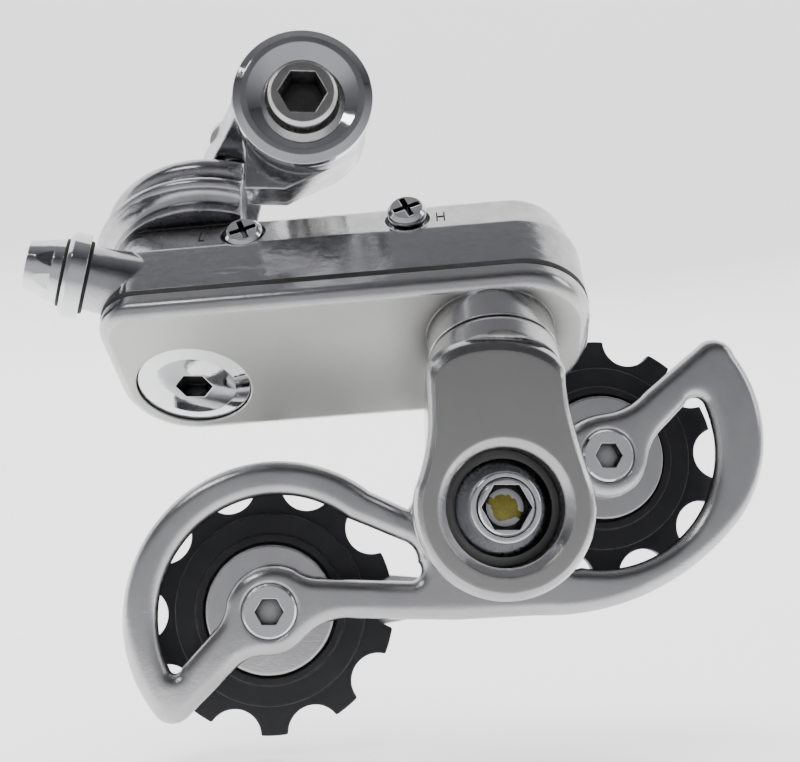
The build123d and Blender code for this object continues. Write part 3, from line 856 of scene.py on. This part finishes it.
@dataclass
class Grease:
    """Old grease in the cage bolt's socket."""

    radius: float = 2.7 * MM
    squash: Triple = (0.9, 0.16, 0.9)
    depth: float = -14.35 * MM
    lump_size: float = 1.1 * MM
    lump_height: float = 0.9 * MM

    def build(self) -> None:
        """Model the smear."""
        clear_selection()
        bpy.ops.mesh.primitive_ico_sphere_add(subdivisions=4, radius=self.radius)
        piece = bpy.context.object
        piece.name = "socket_grease"
        choose(piece)
        texture = bpy.data.textures.new("grease_lumps", "CLOUDS")
        texture.noise_scale = self.lump_size
        lumps = piece.modifiers.new("lumps", "DISPLACE")
        lumps.texture, lumps.strength, lumps.mid_level = texture, self.lump_height, 0.6
        bpy.ops.object.modifier_apply(modifier=lumps.name)
        place = Matrix.Translation(CAGE_PIVOT + Vector((0.0, self.depth, 0.0)))
        move_into_mesh(piece, place @ Matrix.Diagonal((*self.squash, 1.0)))
        finish_piece(piece, "grease", Body.CAGE)


@dataclass
class CarriedNodes:
    """CAD nodes that keep their mesh and only get a finish."""

    special: dict[str, str] = field(default_factory=lambda: {
        "cover_plate": "satin_cover", "lower_knuckle": "satin_knuckle", "cage_pivot_bolt": "bright_bolt",
        "tension_wheel_bolt": "bright_bolt", "guide_wheel_bolt": "bright_bolt",
        "limit_screw_low": "bright_bolt", "limit_screw_high": "bright_bolt"})

    def build(self) -> None:
        """Dress every node by its slot."""
        for part in frame["record"]["subparts"]:
            node = part["node"]
            finish = self.special.get(node, part["material_slot"])
            mesh = frame["nodes"][node].data
            mesh.materials.clear()
            mesh.materials.append(FINISHES[finish].material())


# ---- studio ------------------------------------------------------------------------------------
@dataclass(frozen=True)
class SoftLight:
    """A rectangular light that faces the object."""

    name: str
    place: Triple
    size: tuple[float, float]
    watts: float
    mirrored: bool
    target: Triple = (0.015, 0.0, -0.04)

    def build(self) -> None:
        """Add the light."""
        data = bpy.data.lights.new(self.name, "AREA")
        data.shape, data.energy = "RECTANGLE", self.watts
        data.size, data.size_y = self.size
        lamp = bpy.data.objects.new(self.name, data)
        bpy.context.scene.collection.objects.link(lamp)
        lamp.location = self.place
        lamp.visible_glossy = self.mirrored
        way = Vector(self.target) - Vector(self.place)
        lamp.rotation_euler = way.to_track_quat("-Z", "Y").to_euler()


@dataclass
class Studio:
    """A pale dish-shaped stage, soft lights and the camera."""

    floor: float = -0.0965
    flat: float = 0.3
    radius: float = 2.6
    steps: int = 24
    steepness: float = 0.33
    paper_light: float = 0.60
    room_light: float = 0.60
    lens: float = 47.25
    eye: Triple = (0.00383, -0.15596, -0.06032)
    aim: Triple = (98.0, 0.0, -4.0)
    lights: tuple[SoftLight, ...] = (
        SoftLight("key", (-0.35, -0.35, 1.05), (0.9, 0.6), 20.0, False),
        SoftLight("strip", (-0.6, -0.75, 0.75), (0.5, 0.12), 1.6, True),
        SoftLight("side", (0.95, -0.35, 0.30), (0.25, 0.8), 1.8, True),
        SoftLight("back", (0.1, 0.95, 0.80), (1.0, 0.4), 12.0, False),
        SoftLight("low", (-0.1, -0.95, 0.0), (1.2, 0.08), 1.2, True))

    def build(self) -> None:
        """Set up the stage, the lights, the surroundings and the camera."""
        self.stage()
        for lamp in self.lights:
            lamp.build()
        self.surroundings()
        self.camera()

    def stage(self) -> None:
        """The floor, which rises into a wide bowl."""
        clear_selection()
        bpy.ops.mesh.primitive_circle_add(vertices=96, radius=self.flat, fill_type="NGON",
                                          location=(0.0, 0.0, self.floor))
        stage = bpy.context.object
        stage.name = "stage"
        bpy.ops.object.mode_set(mode="EDIT")
        bpy.ops.mesh.select_mode(type="EDGE")
        bpy.ops.mesh.select_all(action="SELECT")
        width = self.radius - self.flat
        reaches = [self.flat + width * step / self.steps for step in range(self.steps + 1)]
        for last, reach in zip(reaches, reaches[1:]):
            rise = self.steepness * ((reach - self.flat) ** 2 - (last - self.flat) ** 2)
            bpy.ops.mesh.extrude_region_move(TRANSFORM_OT_translate={"value": (0.0, 0.0, rise)})
            wider = (reach / last, reach / last, 1.0)
            bpy.ops.transform.resize(value=wider, center_override=(0.0, 0.0, 0.0))
        bpy.ops.object.mode_set(mode="OBJECT")
        stage.data.materials.append(self.paper())
        choose(stage)
        bpy.ops.object.shade_smooth_by_angle(angle=math.radians(60.0))

    def paper(self) -> bpy.types.Material:
        """Pale matt paper that glows, with painted shade in front of the object, where the polish mirrors
        it.
        """
        graph = Surface("stage_paper")
        cloud = graph.noise(6.0, 3.0)
        pale = graph.blend(cloud, (0.80, 0.80, 0.80), (0.84, 0.84, 0.835))
        forward = graph.node("ShaderNodeSeparateXYZ", None, {0: graph.place()}, "Y")
        # Painted shade: in front of the object the paper is dark and does not glow, so the polish mirrors a
        # dark floor; at the bottom of the view it shows as a slight painted shadow.
        behind = forward.above(-0.15, 0.03)
        sockets = graph.shader.inputs
        graph.feed(sockets["Base Color"], graph.blend(behind, (0.24, 0.24, 0.25), pale))
        sockets["Roughness"].default_value = 0.85
        graph.feed(sockets["Emission Color"], graph.blend(behind, (0.0, 0.0, 0.0), (1.0, 1.0, 1.0)))
        sockets["Emission Strength"].default_value = self.paper_light
        return graph.material

    def surroundings(self) -> None:
        """A soft grey room above the stage, darker overhead."""
        world = bpy.data.worlds.new("studio_room")
        world.use_nodes = True
        room = Graph(world.node_tree)
        way = room.node("ShaderNodeTexCoord", out="Generated")
        height = room.node("ShaderNodeSeparateXYZ", None, {0: way}, "Z")
        tone = room.node("ShaderNodeValToRGB", {
            "stops": ((0.55, (0.50, 0.51, 0.53)), (0.85, (0.10, 0.105, 0.115)))}, {0: height})
        glow = room.node("ShaderNodeBackground", None, {"Color": tone, "Strength": self.room_light})
        output = room.tree.nodes.new("ShaderNodeOutputWorld")
        room.feed(output.inputs["Surface"], glow)
        bpy.context.scene.world = world

    def camera(self) -> None:
        """The camera, level with the cage and looking slightly up."""
        data = bpy.data.cameras.new("camera")
        data.lens, data.sensor_width, data.clip_start = self.lens, 36.0, 0.005
        camera = bpy.data.objects.new("camera", data)
        bpy.context.scene.collection.objects.link(camera)
        camera.location = self.eye
        camera.rotation_euler = tuple(math.radians(angle) for angle in self.aim)
        bpy.context.scene.camera = camera


def main() -> None:
    """Build every class in order."""
    logging.basicConfig(level=logging.INFO, format="%(message)s")
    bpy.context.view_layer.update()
    CarriedNodes().build()
    for maker in (HangerBolt(), SoftenedNodes(), CagePlate(), GasketBead(), AdjusterRings(),
                  ScrewMarks(), Grease(), Studio()):
        maker.build()
        LOG.info("%s done", type(maker).__name__)
    clear_selection()
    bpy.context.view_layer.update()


if __name__ == "__main__":
    main()
